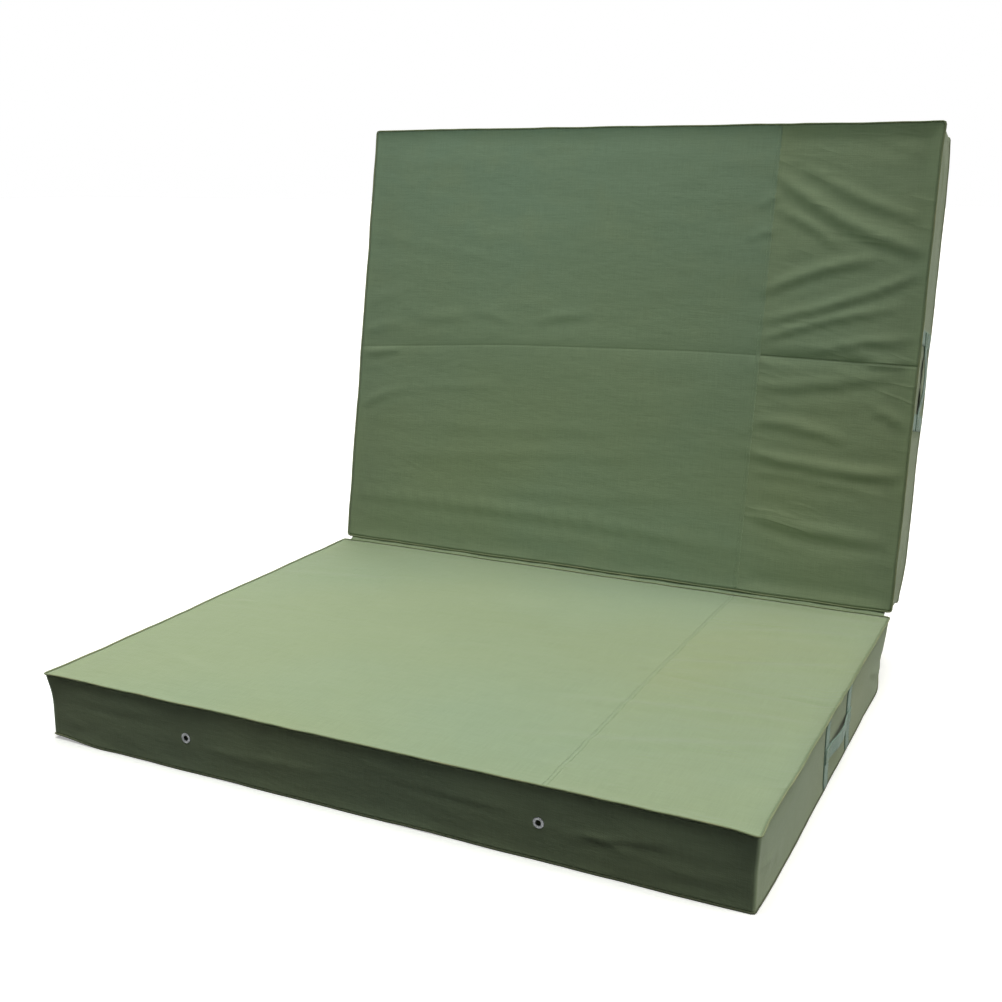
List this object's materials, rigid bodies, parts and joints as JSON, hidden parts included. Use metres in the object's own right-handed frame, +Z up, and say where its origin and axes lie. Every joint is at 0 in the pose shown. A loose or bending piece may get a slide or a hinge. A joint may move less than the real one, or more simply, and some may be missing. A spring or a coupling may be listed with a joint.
{
  "type": "folding gym mat",
  "caption": "Thick folding landing mat: foam panels in olive canvas covers, one raised behind the other on a cloth hinge, with webbing handles, vents and zips.",
  "frame": {"origin": "centre of the lower panel's underside", "axes": "+X along the fold, +Y towards the fold and the raised panel, +Z up"},
  "size_m": [2.038, 1.9877, 1.6806],
  "materials": {
    "canvas": "matt woven canvas",
    "piping": "matt corded edge",
    "webbing": "matt ribbed webbing",
    "foam_core": "open-cell foam",
    "vent_metal": "satin",
    "zip_tape": "matt woven tape",
    "zip_chain": "moulded coil",
    "zip_metal": "worn brass"
  },
  "bodies": {
    "lower_panel": {"lower_fold_foam": "foam_core", "lower_free_foam": "foam_core", "lower_landing_cloth_wide": "canvas", "lower_landing_cloth_narrow": "canvas", "lower_underside_cloth_wide": "canvas", "lower_underside_cloth_narrow": "canvas", "lower_fold_wall": "canvas", "lower_free_wall": "canvas", "lower_left_wall": "canvas", "lower_right_wall": "canvas", "lower_landing_piping": "piping", "lower_underside_piping": "piping", "lower_vent_eyelets": "vent_metal", "lower_vent_washers": "vent_metal", "lower_zip_tapes": "zip_tape", "lower_zip_chain": "zip_chain", "lower_zip_stops": "zip_metal", "lower_left_handle_straps": "webbing", "lower_right_handle_straps": "webbing", "hinge_strip": "canvas"},
    "lower_zip_slider": {"lower_zip_slider": "zip_metal"},
    "lower_zip_pull": {"lower_zip_pull": "zip_metal"},
    "lower_left_grip": {"lower_left_grip": "webbing"},
    "lower_right_grip": {"lower_right_grip": "webbing"},
    "upper_panel": {"upper_fold_foam": "foam_core", "upper_free_foam": "foam_core", "upper_landing_cloth_wide": "canvas", "upper_landing_cloth_narrow": "canvas", "upper_underside_cloth_wide": "canvas", "upper_underside_cloth_narrow": "canvas", "upper_fold_wall": "canvas", "upper_free_wall": "canvas", "upper_left_wall": "canvas", "upper_right_wall": "canvas", "upper_landing_piping": "piping", "upper_underside_piping": "piping", "upper_vent_eyelets": "vent_metal", "upper_vent_washers": "vent_metal", "upper_zip_tapes": "zip_tape", "upper_zip_chain": "zip_chain", "upper_zip_stops": "zip_metal", "upper_left_handle_straps": "webbing", "upper_right_handle_straps": "webbing"},
    "upper_zip_slider": {"upper_zip_slider": "zip_metal"},
    "upper_zip_pull": {"upper_zip_pull": "zip_metal"},
    "upper_left_grip": {"upper_left_grip": "webbing"},
    "upper_right_grip": {"upper_right_grip": "webbing"}
  },
  "joints": [
    {"name": "fold", "type": "hinge", "parent": "lower_panel", "child": "upper_panel", "pos_m": [0, 0.7598, 0.1943], "axis": [1, 0, 0], "range_deg": [-79.2, 100.8], "deforming": ["hinge_strip"]},
    {"name": "lower_zip_slide", "type": "slide", "parent": "lower_panel", "child": "lower_zip_slider", "axis": [-1, 0, 0], "range_m": [0, 1.7734]},
    {"name": "lower_pull_swing", "type": "hinge", "parent": "lower_zip_slider", "child": "lower_zip_pull", "pos_m": [0.8867, 0.7554, 0.095], "axis": [0, 0, -1], "range_deg": [0, 180]},
    {"name": "lower_left_grip_lift", "type": "hinge", "parent": "lower_panel", "child": "lower_left_grip", "pos_m": [-1.00375, 0.03, 0.114], "axis": [0, 1, 0], "range_deg": [0, 95]},
    {"name": "lower_right_grip_lift", "type": "hinge", "parent": "lower_panel", "child": "lower_right_grip", "pos_m": [1.00375, 0.03, 0.114], "axis": [0, -1, 0], "range_deg": [0, 95]},
    {"name": "upper_zip_slide", "type": "slide", "parent": "upper_panel", "child": "upper_zip_slider", "axis": [-1, 0, 0], "range_m": [0, 1.7734]},
    {"name": "upper_pull_swing", "type": "hinge", "parent": "upper_zip_slider", "child": "upper_zip_pull", "pos_m": [0.8867, 0.85817, 0.18002], "axis": [0, -0.9823, 0.1874], "range_deg": [0, 180]},
    {"name": "upper_left_grip_lift", "type": "hinge", "parent": "upper_panel", "child": "upper_left_grip", "pos_m": [-1.00375, 0.97543, 0.89613], "axis": [0, 0.1874, 0.9823], "range_deg": [0, 95]},
    {"name": "upper_right_grip_lift", "type": "hinge", "parent": "upper_panel", "child": "upper_right_grip", "pos_m": [1.00375, 0.97543, 0.89613], "axis": [0, -0.1874, -0.9823], "range_deg": [0, 95]}
  ]
}
